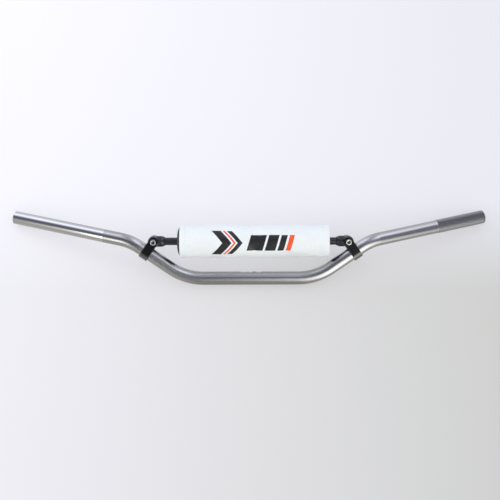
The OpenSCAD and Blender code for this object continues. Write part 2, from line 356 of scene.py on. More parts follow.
def nylon(t):
    p = t.place()
    cloud = t.noise(p, 500.0, 3.0, 0.6)
    colour = t.mix(cloud, rgb(0.03, 0.09, 0.34), rgb(0.05, 0.14, 0.44))
    return {"Base Color": colour, "Roughness": t.add(0.42, t.mul(cloud, 0.15)),
            "Subsurface Weight": 0.1, "Subsurface Scale": 0.001,
            "Normal": t.bump(cloud, 0.02 * MM, 0.5)}


def foam_skin(t):
    """Closed-cell foam: fine pores, matt, nearly black."""
    p = t.place()
    cells = t.voronoi(p, 1500.0)
    big = t.voronoi(p, 620.0)
    cloud = t.noise(p, 70.0, 4.0, 0.6)
    pores = t.remap(cells, 0.0, 0.45)
    colour = t.mix(pores, rgb(0.006, 0.006, 0.007), rgb(0.030, 0.030, 0.032))
    colour = t.mix(t.mul(cloud, 0.5), colour, rgb(0.018, 0.018, 0.020))
    height = t.add(pores, t.mul(t.remap(big, 0.0, 0.5), 0.6))
    return {"Base Color": colour, "Roughness": 0.88, "Specular IOR Level": 0.25,
            "Sheen Weight": 0.15, "Sheen Roughness": 0.5,
            "Normal": t.bump(height, 0.12 * MM, 0.8)}


PRINT_EDGE = 0.12 * MM
BLOCK_TALL, BLOCK_SLOPE = 13.5 * MM, 0.28
CHEVRON_TALL, CHEVRON_SLOPE = 22 * MM, 0.8


def below(t, value, high):
    """1 under a limit, with a soft edge."""
    return t.remap(value, high - PRINT_EDGE, high + PRINT_EDGE, 1.0, 0.0)


def within(t, value, low, high):
    """1 between two limits, with soft edges."""
    return t.mul(t.remap(value, low - PRINT_EDGE, low + PRINT_EDGE), below(t, value, high))


def slanted(t, u, v, left, right):
    """1 inside a slanted block given by its edges at mid height."""
    inside = within(t, t.sub(u, t.mul(v, BLOCK_SLOPE)), left, right)
    return t.mul(inside, within(t, v, -BLOCK_TALL, BLOCK_TALL))


def chevron(t, u, v, nose, thick):
    """1 inside an arrowhead stripe that points along +u."""
    back = t.add(u, t.mul(t.math("ABSOLUTE", v), CHEVRON_SLOPE))
    inside = within(t, back, nose - thick, nose)
    return t.mul(inside, below(t, t.math("ABSOLUTE", v), CHEVRON_TALL))


def coated_cloth(t, p):
    """Colour, folds, relief and roughness of white coated cloth with a fine leather grain."""
    grain = t.voronoi(p, 1300.0)
    fold = t.noise(p, 260.0, 4.0, 0.6)
    soil = t.noise(p, 18.0, 5.0, 0.6)
    base = t.mix(soil, rgb(0.78, 0.82, 0.83), rgb(0.86, 0.895, 0.905))
    base = t.mix(t.remap(grain, 0.0, 0.35, 0.5, 0.0), base, rgb(0.74, 0.76, 0.78))
    return base, fold, t.add(t.mul(grain, 0.7), t.mul(fold, 0.5)), t.add(0.40, t.mul(fold, 0.16))


def cover_vinyl(t):
    """The coated cloth with a printed speed graphic on the front."""
    p = t.place()
    x, y, z = t.split(p)
    up = t.sub(z, CROSS_Z)
    v = t.mul(t.lift(y, up), COVER_R)
    marks = t.top(chevron(t, x, v, -32 * MM, 15 * MM), chevron(t, x, v, -14 * MM, 8 * MM))
    left = -4 * MM
    for wide in (26, 17, 10):
        marks = t.top(marks, slanted(t, x, v, left, left + wide * MM))
        left += (wide + 3.5) * MM
    red = slanted(t, x, v, left, left + 8 * MM)
    red = t.top(red, chevron(t, x, v, -25 * MM, 3.5 * MM))
    base, fold, height, rough = coated_cloth(t, p)
    ink = t.mix(fold, rgb(0.010, 0.010, 0.012), rgb(0.022, 0.022, 0.024))
    colour = t.mix(marks, base, ink)
    colour = t.mix(red, colour, t.mix(fold, rgb(0.86, 0.075, 0.018), rgb(0.93, 0.11, 0.03)))
    printed = t.top(marks, red)
    height = t.add(height, t.mul(printed, 0.5))
    rough = t.mixf(printed, rough, 0.32)
    return {"Base Color": colour, "Roughness": rough, "Specular IOR Level": 0.45,
            "Subsurface Weight": 0.06, "Subsurface Scale": 0.002,
            "Coat Weight": 0.06, "Coat Roughness": 0.3,
            "Normal": t.bump(height, 0.035 * MM, 0.6)}


def thread(t):
    p = t.place()
    twist = t.noise(p, 2600.0, 3.0, 0.6)
    colour = t.mix(twist, rgb(0.70, 0.71, 0.74), rgb(0.88, 0.89, 0.91))
    return {"Base Color": colour, "Roughness": 0.62, "Sheen Weight": 0.3,
            "Normal": t.bump(twist, 0.05 * MM, 0.8)}


def hook_pile(t):
    p = t.place()
    pile = t.voronoi(p, 1900.0)
    fuzz = t.noise(p, 1200.0, 5.0, 0.7)
    colour = t.mix(t.add(pile, t.mul(fuzz, 0.3)), rgb(0.006, 0.006, 0.007),
                   rgb(0.06, 0.06, 0.062))
    return {"Base Color": colour, "Roughness": 0.92, "Sheen Weight": 0.5, "Sheen Roughness": 0.4,
            "Normal": t.bump(t.add(pile, fuzz), 0.2 * MM, 0.9)}


def cover_back(t):
    """The same coated cloth without the print."""
    base, _, height, rough = coated_cloth(t, t.place())
    return {"Base Color": base, "Roughness": rough, "Specular IOR Level": 0.45,
            "Normal": t.bump(height, 0.035 * MM, 0.6)}


MATS = {
    "bar": material("bar_satin", bar_finish),
    "knurl": material("bar_knurl", knurl_finish),
    "coat": material("black_coat", black_coat),
    "black": material("black_anodised_tube", black_anodised),
    "steel": material("plated_steel", plated_steel),
    "bronze": material("bush_bronze", bronze),
    "nylon": material("ring_nylon", nylon),
    "foam": material("foam_skin", foam_skin),
    "vinyl": material("cover_vinyl", cover_vinyl),
    "vinyl_back": material("cover_back", cover_back),
    "thread": material("cover_thread", thread),
    "pile": material("hook_pile", hook_pile),
}

CAD_LOOKS = {
    "handlebar_tube": "bar", "crossbar_tube": "black", "pad_foam": "foam", "pad_cover": "vinyl",
    "pad_hook_strip": "pile", "pad_loop_strip": "pile",
}
PAIR_LOOKS = {
    "clamp": "coat", "clamp_screw": "steel", "screw_washer": "coat", "clamp_nut": "steel",
    "nut_washer": "steel", "nut_lock_ring": "nylon", "crossbar_end": "black",
    "pivot_bush": "bronze",
}
for part, look in PAIR_LOOKS.items():
    CAD_LOOKS["left_" + part] = CAD_LOOKS["right_" + part] = look
for name, look in CAD_LOOKS.items():
    obj = frame["nodes"][name]
    for i in range(len(obj.data.materials)):
        obj.data.materials[i] = MATS[look]

# ---- meshes ----
def rounded(corners, steps=4):
    """Closed outline through corners (u, v, radius), each rounded by an arc."""
    out = []
    count = len(corners)
    for i, (u, v, r) in enumerate(corners):
        here = Vector((u, v))
        if r <= 0:
            out.append(here)
            continue
        back = (Vector(corners[i - 1][:2]) - here).normalized()
        ahead = (Vector(corners[(i + 1) % count][:2]) - here).normalized()
        half = back.angle(ahead) / 2
        start, end = here + back * (r / tan(half)), here + ahead * (r / tan(half))
        centre = here + (back + ahead).normalized() * (r / sin(half))
        first = atan2(start.y - centre.y, start.x - centre.x)
        last = atan2(end.y - centre.y, end.x - centre.x)
        sweep = (last - first + pi) % TAU - pi
        for k in range(steps + 1):
            a = first + sweep * k / steps
            out.append(centre + r * Vector((cos(a), sin(a))))
    return out


MERGE = 1e-6


def tidy_mesh(me):
    bm = bmesh.new()
    bm.from_mesh(me)
    bmesh.ops.remove_doubles(bm, verts=bm.verts, dist=MERGE)
    bmesh.ops.dissolve_degenerate(bm, edges=bm.edges, dist=MERGE / 10)
    bmesh.ops.recalc_face_normals(bm, faces=bm.faces)
    bm.to_mesh(me)
    bm.free()


def shade(me, sharp=40):
    me.shade_smooth()
    me.set_sharp_from_angle(angle=radians(sharp))


def mesh_object(name, verts, faces, look=None, sharp=40):
    me = bpy.data.meshes.new(name)
    me.from_pydata([tuple(v) for v in verts], [], faces)
    tidy_mesh(me)
    shade(me, sharp)
    if look:
        me.materials.append(MATS[look])
    return put_in(bpy.data.objects.new(name, me))


def belongs(o, body, slot, *nodes):
    """Rides on a body and stands for CAD nodes, which it hides; slot is not used."""
    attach(o, body)
    if nodes:
        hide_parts(*nodes)


def lathe(outline, segments, place):
    """Turns a closed outline of (radius, along) points round local Z."""
    verts, faces = [], []
    n = len(outline)
    for k in range(segments):
        a = TAU * k / segments
        for r, h in outline:
            verts.append(place @ Vector((r * cos(a), r * sin(a), h)))
    for k in range(segments):
        m = (k + 1) % segments
        for i in range(n):
            j = (i + 1) % n
            faces.append((k * n + i, k * n + j, m * n + j, m * n + i))
    return verts, faces


def loft(loops, closed_ends=True):
    """Joins loops of equal length, one after another, into a closed skin."""
    n = len(loops[0])
    verts = [v for loop in loops for v in loop]
    faces = []
    for k in range(len(loops) - 1):
        for i in range(n):
            j = (i + 1) % n
            faces.append((k * n + i, k * n + j, (k + 1) * n + j, (k + 1) * n + i))
    if closed_ends:
        faces.append(tuple(range(n))[::-1])
        faces.append(tuple(range((len(loops) - 1) * n, len(loops) * n)))
    return verts, faces


def edge_levels(edge, thick, turns=4):
    """Inset and depth of the points that round a sheet's edge, from one face to the other."""
    levels = []
    for k in range(turns + 1):
        a = pi / 2 * k / turns
        levels.append((edge * (1 - sin(a)), edge * (1 - cos(a))))
    return levels + [(inset, thick - depth) for inset, depth in levels[::-1]]


def skin(rows, cols, levels, point, ends=True):
    """Closed skin of a sheet with rounded edges. point(i, j, inset, depth) is a place on it."""
    verts, faces, grid = [], [], {}

    def vertex(level, i, j):
        key = (level, i, j)
        if key not in grid:
            grid[key] = len(verts)
            verts.append(point(i, j, *levels[level]))
        return grid[key]

    def quad(*corners):
        faces.append([vertex(*corner) for corner in corners])

    last = len(levels) - 1
    for i in range(rows):
        for j in range(cols):
            for level in (0, last):
                quad((level, i, j), (level, i + 1, j), (level, i + 1, j + 1), (level, i, j + 1))
    for level in range(last):
        for i in range(rows):
            for j in (0, cols):
                quad((level, i, j), (level, i + 1, j), (level + 1, i + 1, j), (level + 1, i, j))
        for j in range(cols if ends else 0):
            for i in (0, rows):
                quad((level, i, j), (level, i, j + 1), (level + 1, i, j + 1), (level + 1, i, j))
    return verts, faces


def put_in(o):
    bpy.context.scene.collection.objects.link(o)
    return o


def bake(o):
    """Applies every modifier."""
    graph = bpy.context.evaluated_depsgraph_get()
    graph.update()
    me = bpy.data.meshes.new_from_object(o.evaluated_get(graph), depsgraph=graph)
    o.modifiers.clear()
    old = o.data
    o.data = me
    bpy.data.meshes.remove(old)


def combine(o, other, operation):
    m = o.modifiers.new("combine", "BOOLEAN")
    m.object = other
    m.operation = operation
    m.solver = "EXACT"
    bake(o)
    bpy.data.objects.remove(other)


def mirrored(verts, side):
    return [Vector((v.x * side, v.y, v.z)) for v in verts]


def smoothstep(a, b, x):
    t = min(max((x - a) / (b - a), 0.0), 1.0)
    return t * t * (3 - 2 * t)


def ripple(x, y, z):
    return noise.noise(Vector((x, y, z)))


# frame along the screws: local X across, local Z from front to back
ALONG_SCREW = Matrix((
    (1, 0, 0, PIVOT.x),
    (0, 0, 1, 0),
    (0, -1, 0, PIVOT.z),
    (0, 0, 0, 1)))
# frame along the crossbar: local X to the back, local Y up, local Z to the rider's left
ALONG_CROSS = Matrix((
    (0, 0, 1, 0),
    (1, 0, 0, 0),
    (0, 1, 0, CROSS_Z),
    (0, 0, 0, 1)))


def on_cross(r, a, x):
    """A point round the crossbar: its radius, its angle up from the back, its place along X."""
    return ALONG_CROSS @ Vector((r * cos(a), r * sin(a), x))


def drill(o, r, half, segments, side):
    """A hole across the bar, along the clamp screw."""
    verts, faces = lathe([(0, -half), (r, -half), (r, half), (0, half)], segments, ALONG_SCREW)
    combine(o, mesh_object("drill", mirrored(verts, side), faces), "DIFFERENCE")


# ---- clamp screws: cap head with a knurled side, hexagon socket, cut thread ----
def clamp_screw(side_name, side):
    low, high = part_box(side_name + "_clamp_screw")
    head_r = (high.x - low.x) / 2
    front, tip = low.y, high.y
    head_h, shank_r = 6 * MM, 3 * MM
    under = front + head_h
    flats, deep, pitch, cut = 2.5 * MM, 3.2 * MM, 1 * MM, 0.3 * MM
    thread_from = tip - 18 * MM
    segments, ridges = 240, 40

    def hexagon(a, grow=0.0):
        third = pi / 3
        return (flats + grow) / cos((a + third / 2) % third - third / 2)

    def plain(r):
        return lambda a: r

    def knurled(depth):
        return lambda a: head_r - depth * (0.5 + 0.5 * cos(ridges * a))

    rim = 0.8 * MM
    rings = [(plain(0), front + deep + 0.9 * MM),
             (plain(flats * 0.55), front + deep + 0.25 * MM),
             (lambda a: hexagon(a, -0.12 * MM), front + deep),
             (hexagon, front + deep - 0.12 * MM),
             (hexagon, front + 0.35 * MM),
             (lambda a: hexagon(a, 0.08 * MM), front + 0.12 * MM),
             (lambda a: hexagon(a, 0.30 * MM), front),
             (plain(head_r - rim - 0.5 * MM), front)]
    for k in range(6):
        a = pi / 2 * k / 5
        rings.append((plain(head_r - rim + rim * sin(a)), front + rim * (1 - cos(a))))
    rings += [(knurled(0.0), front + 1.0 * MM),
              (knurled(0.22 * MM), front + 1.25 * MM),
              (knurled(0.22 * MM), under - 0.45 * MM),
              (knurled(0.0), under - 0.2 * MM),
              (plain(head_r - 0.18 * MM), under),
              (plain(shank_r + 0.35 * MM), under),
              (plain(shank_r), under + 0.35 * MM),
              (plain(shank_r), thread_from - 0.6 * MM)]
    steps = 96
    for k in range(steps + 1):
        y = thread_from + (tip - 0.8 * MM - thread_from) * k / steps

        def thread(a, y=y):
            phase = (y / pitch - a / TAU) % 1.0
            runout = smoothstep(thread_from, thread_from + pitch, y)
            return shank_r - cut * abs(2 * phase - 1) * runout

        rings.append((thread, y))
    rings += [(plain(shank_r - 0.8 * MM), tip), (plain(0), tip)]
    loops = []
    for radius, y in rings:
        loops.append([ALONG_SCREW @ Vector((radius(a) * cos(a), radius(a) * sin(a), y))
                      for a in (TAU * k / segments for k in range(segments))])
    verts, faces = loft(loops, closed_ends=False)
    if side < 0:
        verts = [v - Vector((2 * PIVOT.x, 0, 0)) for v in verts]
    o = mesh_object(f"{side_name}_cap_screw", verts, faces, "steel", 32)
    belongs(o, f"{side_name}_screw_body", "bright_steel", f"{side_name}_clamp_screw")


# ---- clamps: one strap bent round the riser, with rounded edges and drilled ears ----
RISE = radians(34.5)
RISER_DIR = Vector((cos(RISE), 0, sin(RISE)))
RISER_UP = Vector((-sin(RISE), 0, cos(RISE)))
EAR_REACH = 21.3 * MM
SEAT = PIVOT - RISER_UP * EAR_REACH


def clamp(side_name, side):
    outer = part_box(side_name + "_clamp")[1].y
    thick = 2.5 * MM
    inner = outer - thick
    wide, ear_wide = 7.7 * MM, 7.75 * MM
    ear_r, edge = 8.3 * MM, 0.55 * MM
    mid = (inner + outer) / 2
    quarter = mid * pi / 2
    end = quarter + EAR_REACH
    stations, ear_rows = 160, 24

    def station(i, inset):
        """Place along the bend, and half the strap's width there, of one of the rows of points."""
        r = ear_r - inset
        if i < ear_rows or i > stations - ear_rows:
            k = i if i < ear_rows else stations - i
            a = pi / 2 * (1 - k / ear_rows)
            s = end + r * sin(a)
            body = ear_wide - inset
            return copysign(s, i - stations / 2), min(body, r * cos(a))
        s = end * (-1 + 2 * (i - ear_rows) / (stations - 2 * ear_rows))
        return s, wide + (ear_wide - wide) * smoothstep(quarter, end, abs(s)) - inset

    def bent(s, depth, across):
        """A point on the strap: s along the bend, depth outward from its inner face."""
        r = inner + depth
        if abs(s) <= quarter:
            a = s / mid
            y, z = r * sin(a), -r * cos(a)
        else:
            y, z = copysign(r, s), abs(s) - quarter
        return SEAT + RISER_DIR * across + Vector((0, y, 0)) + RISER_UP * z

    across = 6

    def point(i, j, inset, depth):
        place, half = station(i, inset)
        return bent(place, depth, half * (-1 + 2 * j / across))

    verts, faces = skin(stations, across, edge_levels(edge, thick), point, ends=False)
    verts = mirrored(verts, side)
    o = mesh_object(f"{side_name}_strap_clamp", verts, faces, "coat", 50)
    drill(o, 3.2 * MM, outer * 2, 48, side)
    shade(o.data, 45)
    o.modifiers.new("normals", "WEIGHTED_NORMAL").keep_sharp = True
    belongs(o, "bar", "black_steel", f"{side_name}_clamp")


# ---- crossbar ends: turned shoulder and spigot, blended into a cross-drilled eye ----
def crossbar_end(side_name, side):
    eye_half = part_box(f"{side_name}_crossbar_end")[1].y
    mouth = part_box("crossbar_tube")[1].x + 0.02 * MM
    body_r, mouth_r, eye_r, hole_r = 9 * MM, 6.8 * MM, 9.3 * MM, 4.6 * MM
    shoulder = 8 * MM
    spigot_r, spigot = CROSS_R - 1.7 * MM, 20 * MM
    swell = body_r - mouth_r
    outline = [(0, mouth - spigot), (spigot_r - 0.6 * MM, mouth - spigot),
               (spigot_r, mouth - spigot + 0.6 * MM), (spigot_r, mouth),
               (mouth_r - 0.3 * MM, mouth)]
    steps = 12
    for k in range(steps + 1):
        t = k / steps
        outline.append((body_r - swell * (1 - t) ** 2,
                        mouth + 0.25 * MM + (shoulder - 0.25 * MM) * t))
    outline += [(body_r, PIVOT.x), (0, PIVOT.x)]
    verts, faces = lathe(outline, 96, ALONG_CROSS)
    o = mesh_object(f"{side_name}_end_fitting", mirrored(verts, side), faces, "black")
    eye = rounded([(0, -eye_half, 0), (eye_r, -eye_half, 0.5 * MM), (eye_r, eye_half, 0.5 * MM),
                   (0, eye_half, 0)])
    verts, faces = lathe(eye, 96, ALONG_SCREW)
    combine(o, mesh_object("eye", mirrored(verts, side), faces), "UNION")
    drill(o, hole_r, 20 * MM, 64, side)
    remesh = o.modifiers.new("skin", "REMESH")
    remesh.mode = "VOXEL"
    remesh.voxel_size = 0.32 * MM
    blend = o.modifiers.new("blend", "SMOOTH")
    blend.factor, blend.iterations = 0.5, 5
    bake(o)
    o.data.shade_smooth()
    belongs(o, "bar", "black_anodised", f"{side_name}_crossbar_end")


# ---- diamond knurling on the rider's left grip seat ----
def knurling():
    across = GRIP_DIR.cross(Vector((0, 0, 1))).normalized()
    up = across.cross(GRIP_DIR).normalized()
    diamonds = 48
    segments = diamonds * 6
    pitch = TAU * BAR_R / diamonds
    start, stop = 1.2 * MM, KNURL_LEN
    rows = int((stop - start) / pitch * (6))
    tall, root = 0.16 * MM, BAR_R + 0.01 * MM

    def height(a, s):
        """Crossed helical grooves leave pyramids."""
        u = (a / TAU * diamonds + s / pitch) % 1.0
        v = (a / TAU * diamonds - s / pitch) % 1.0
        return min(1 - abs(2 * u - 1), 1 - abs(2 * v - 1), 0.42) / 0.42

    def ring(r, s):
        return [LEFT_TIP - GRIP_DIR * s
                + (across * cos(a) + up * sin(a)) * (r(a) if callable(r) else r)
                for a in (TAU * k / segments for k in range(segments))]

    loops = [ring(BAR_R - 0.3 * MM, stop), ring(BAR_R - 0.02 * MM, stop)]
    for k in range(rows + 1):
        s = stop - (stop - start) * k / rows
        fade = smoothstep(start, start + 0.8 * MM, s) * smoothstep(stop, stop - 0.8 * MM, s)
        loops.append(ring(lambda a, s=s, f=fade: root + tall * f * height(a, s), s))
    loops += [ring(BAR_R - 0.02 * MM, start), ring(BAR_R - 0.3 * MM, start)]
    verts, faces = loft(loops + [loops[0]], closed_ends=False)
    o = mesh_object("left_grip_knurling", verts, faces, "knurl", 60)
    belongs(o, "bar", "bar_anodised")


# ---- pad: cloth cover over foam, closed at the back ----
COVER_T = 1.2 * MM
HEM = 8.8 * MM
STITCH_GAP = 3.4 * MM
PAD_RIGHT, PAD_LEFT = COVER_LO.x, COVER_HI.x
PAD_MID = (PAD_RIGHT + PAD_LEFT) / 2
FLAP_R = COVER_HI.y
STRIP_HALF = radians(22)
BACK_HALF = radians(34)
CLOTH_ROWS, CLOTH_COLS = 62, 84


def swell_grid():
    """How far the filled cover swells, from a cloth simulation on a coarse tube, row by row."""
    length = PAD_LEFT - PAD_RIGHT
    rows, cols = CLOTH_ROWS, CLOTH_COLS
    radius = COVER_R - 0.9 * MM
    angles = [TAU * k / cols for k in range(cols)]
    along = [length * i / rows for i in range(rows + 1)]
    verts, faces = loft([[on_cross(radius, a, PAD_RIGHT + s) for a in angles] for s in along])
    pins = [i * cols + k for i, s in enumerate(along) for k, a in enumerate(angles)
            if min(a, TAU - a) < BACK_HALF or min(s, length - s) < HEM]
    me = bpy.data.meshes.new("cover_cloth")
    me.from_pydata([tuple(v) for v in verts], [], faces)
    o = put_in(bpy.data.objects.new("cover_cloth", me))
    group = o.vertex_groups.new(name="sewn")
    group.add(pins, 1.0, "REPLACE")
    cloth = o.modifiers.new("cloth", "CLOTH")
    cs = cloth.settings
    cs.quality = 8
    cs.mass = 0.4
    cs.tension_stiffness = cs.compression_stiffness = 30
    cs.shear_stiffness = 15
    cs.bending_stiffness = 1.5
    cs.use_pressure = True
    cs.uniform_pressure_force = 4
    cs.shrink_min = -0.012
    cs.vertex_group_mass = "sewn"
    cs.effector_weights.gravity = 0
    cloth.point_cache.frame_start, cloth.point_cache.frame_end = 1, 20
    for f in range(1, 21):
        bpy.context.scene.frame_set(f)
    graph = bpy.context.evaluated_depsgraph_get()
    moved = o.evaluated_get(graph).to_mesh()
    grid = np.zeros((rows + 1, cols))
    for i in range(rows + 1):
        for k in range(cols):
            p = moved.vertices[i * cols + k].co
            grid[i, k] = hypot(p.y, p.z - CROSS_Z) - radius
    bpy.context.scene.frame_set(1)
    o.modifiers.clear()
    bpy.data.objects.remove(o)
    return grid


SWELL_CAP = 0.95 * MM
raw_swell = swell_grid()
SWELL = SWELL_CAP * np.tanh(raw_swell / SWELL_CAP)


def swell(a, x):
    """The cloth's movement off its sewn radius at an angle and a place along the pad."""
    u = (x - PAD_RIGHT) / (PAD_LEFT - PAD_RIGHT) * CLOTH_ROWS
    u = min(max(u, 0), CLOTH_ROWS - 1e-6)
    v = (a / TAU * CLOTH_COLS) % CLOTH_COLS
    i, k = int(u), int(v)
    m = (k + 1) % CLOTH_COLS
    du, dv = u - i, v - k
    top = SWELL[i, k] * (1 - dv) + SWELL[i, m] * dv
    low = SWELL[i + 1, k] * (1 - dv) + SWELL[i + 1, m] * dv
    return top * (1 - du) + low * du


def from_hem(x):
    """Distance inboard from the nearer end of the cover."""
    return min(x - PAD_RIGHT, PAD_LEFT - x)


def cover_radius(a, x):
    """Outside radius of the cover."""
    d = from_hem(x)
    back = min(a, TAU - a)
    open_side = smoothstep(BACK_HALF, BACK_HALF + 0.3, back)
    r = COVER_R - 0.75 * MM + swell(a, x) * (0.35 + 0.65 * open_side)
    # doubled cloth in the hem, then the stitched groove, then gathers that die away
    r += 0.35 * MM * smoothstep(HEM + 0.6 * MM, HEM - 0.4 * MM, d)
    r -= 0.42 * MM * exp(-((d - HEM) / (0.75 * MM)) ** 2)
    r -= 0.30 * MM * exp(-d / (1.6 * MM))
    away = exp(-max(d - HEM, 0) / (9 * MM)) * smoothstep(0, HEM, d)
    r += 0.16 * MM * away * ripple(9 * cos(a), 9 * sin(a), x * 18) * open_side
    r += 0.10 * MM * ripple(2.2 * cos(a), 2.2 * sin(a), x * 30) * open_side
    return r


def pad_cover():
    stations = []
    fine = 1.1 * MM
    x = PAD_RIGHT
    while x < PAD_LEFT - 1e-9:
        stations.append(x)
        x += fine if from_hem(x) < HEM + 12 * MM else 2.2 * MM
    stations.append(PAD_LEFT)
    lip = COVER_T / 2
    segments = 192
    loops = []
    for k in range(segments):
        a = TAU * k / segments

        def rim(end, way, a=a):
            """The rounded edge: outside to inside at the left end, and back at the right end."""
            mid = end - way * lip
            r = cover_radius(a, mid) - lip
            turns = [pi * t / 6 for t in range(1, 6)]
            return [on_cross(r + way * lip * cos(turn), a, mid + way * lip * sin(turn))
                    for turn in turns]

        loop = [on_cross(cover_radius(a, x), a, x) for x in stations[1:-1]]
        loop += rim(PAD_LEFT, 1)
        loop += [on_cross(cover_radius(a, x) - COVER_T, a, x) for x in stations[-2:0:-1]]
        loops.append(loop + rim(PAD_RIGHT, -1))
    verts, faces = loft(loops + [loops[0]], closed_ends=False)
    o = mesh_object("pad_cover_fabric", verts, faces, "vinyl", 180)
    belongs(o, "pad_cover_body", "cover_white", "pad_cover")


def sheet(name, angles, half, radius, thick, look, slot, nodes, steps):
    """A thin curved sheet with rounded edges. radius(a, x) is its inner face."""
    low, high = angles
    na, nx = steps
    x0, x1 = PAD_MID - half, PAD_MID + half

    def point(i, j, inset, depth):
        turn_in = inset / COVER_R
        a = low + turn_in + (high - low - 2 * turn_in) * i / na
        x = x0 + inset + (x1 - x0 - 2 * inset) * j / nx
        return on_cross(radius(a, x) + depth, a, x)

    verts, faces = skin(na, nx, edge_levels(thick / 2, thick), point)
    belongs(mesh_object(name, verts, faces, look, 60), "pad_cover_body", slot, *nodes)


FLAP_LOW, FLAP_HIGH = radians(-25), radians(37)
FLAP_T = 1.0 * MM
FLAP_HALF = 100 * MM


def flap_radius(a, x):
    """Inner face of the closing flap: sewn down at its top edge, lying on the strips below it."""
    sewn = smoothstep(radians(24), radians(34), a)
    r = FLAP_R - FLAP_T - sewn * (FLAP_R - FLAP_T - COVER_R + 0.55 * MM)
    end = FLAP_HALF - abs(x - PAD_MID)
    r += 0.10 * MM * ripple(a * 3, x * 26, 4.0) * (1 - sewn)
    r -= 0.28 * MM * exp(-((end - 5 * MM) / (0.8 * MM)) ** 2)
    low = (a - FLAP_LOW) * FLAP_R
    r -= 0.28 * MM * exp(-((low - 4 * MM) / (0.8 * MM)) ** 2)
    top = (FLAP_HIGH - a) * FLAP_R
    return r - 0.2 * MM * exp(-((top - 3 * MM) / (0.8 * MM)) ** 2)


def pile(seed, base):
    def radius(a, x):
        return base + 0.05 * MM * ripple(a * 60, x * 2400, seed)
    return radius


def closure():
    sheet("cover_closing_flap", (FLAP_LOW, FLAP_HIGH), FLAP_HALF, flap_radius, FLAP_T,
          "vinyl_back", "cover_white", (), ((64, 200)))
    for name, seed, base in (("hook_strip", 1.0, 0.05 * MM), ("loop_strip", 7.0, 0.92 * MM)):
        sheet(name, (-STRIP_HALF, STRIP_HALF), FLAP_HALF - 3 * MM, pile(seed, COVER_R + base),
              0.78 * MM, "pile", "hook_black", ("pad_" + name,), ((60, 300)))


def stitches():
    """Lockstitch thread: short capsules lying along each seam."""
    verts, faces = [], []
    around, along = 8, 7
    thick, length = 0.24 * MM, 2.5 * MM

    def stitch(a, x, r, lengthways=False):
        """A capsule on the surface of radius r, round the pad unless it runs lengthways."""
        out = Vector((0, cos(a), sin(a)))
        run = Vector((1, 0, 0)) if lengthways else Vector((0, -sin(a), cos(a)))
        side = run.cross(out).normalized()
        centre = on_cross(r + 0.10 * MM, a, x)
        loops = []
        for i in range(along + 1):
            t = -1 + 2 * i / along
            r = thick * sqrt(max(1 - abs(t) ** 5, 0.0)) + 0.01 * MM
            sink = 0.30 * MM * t * t
            loops.append([centre + run * (t * length / 2) + out * (r * sin(b) - sink)
                          + side * (r * cos(b)) for b in (TAU * k / around for k in range(around))])
        points, quads = loft(loops)
        base = len(verts)
        verts.extend(points)
        faces.extend(tuple(base + i for i in quad) for quad in quads)

    count = int(TAU * COVER_R / STITCH_GAP)
    for x in (PAD_RIGHT + HEM, PAD_LEFT - HEM):
        for a in (TAU * (k + 0.5) / count for k in range(count)):
            stitch(a, x, cover_radius(a, x))
    low, high = FLAP_LOW + 4 * MM / FLAP_R, FLAP_HIGH - 3 * MM / FLAP_R
    inset = FLAP_HALF - 5 * MM
    count = int((2 * FLAP_HALF - 10 * MM) / STITCH_GAP)
    for a in (low, high):
        for x in (PAD_MID - inset + (k + 0.5) * STITCH_GAP for k in range(count)):
            stitch(a, x, flap_radius(a, x) + FLAP_T, lengthways=True)
    count = int((high - low) * FLAP_R / STITCH_GAP)
    for x in (PAD_MID - inset, PAD_MID + inset):
        for a in (low + (high - low) * (k + 0.5) / count for k in range(count)):
            stitch(a, x, flap_radius(a, x) + FLAP_T)
    o = mesh_object("cover_stitching", verts, faces, "thread", 60)
    belongs(o, "pad_cover_body", "cover_white")


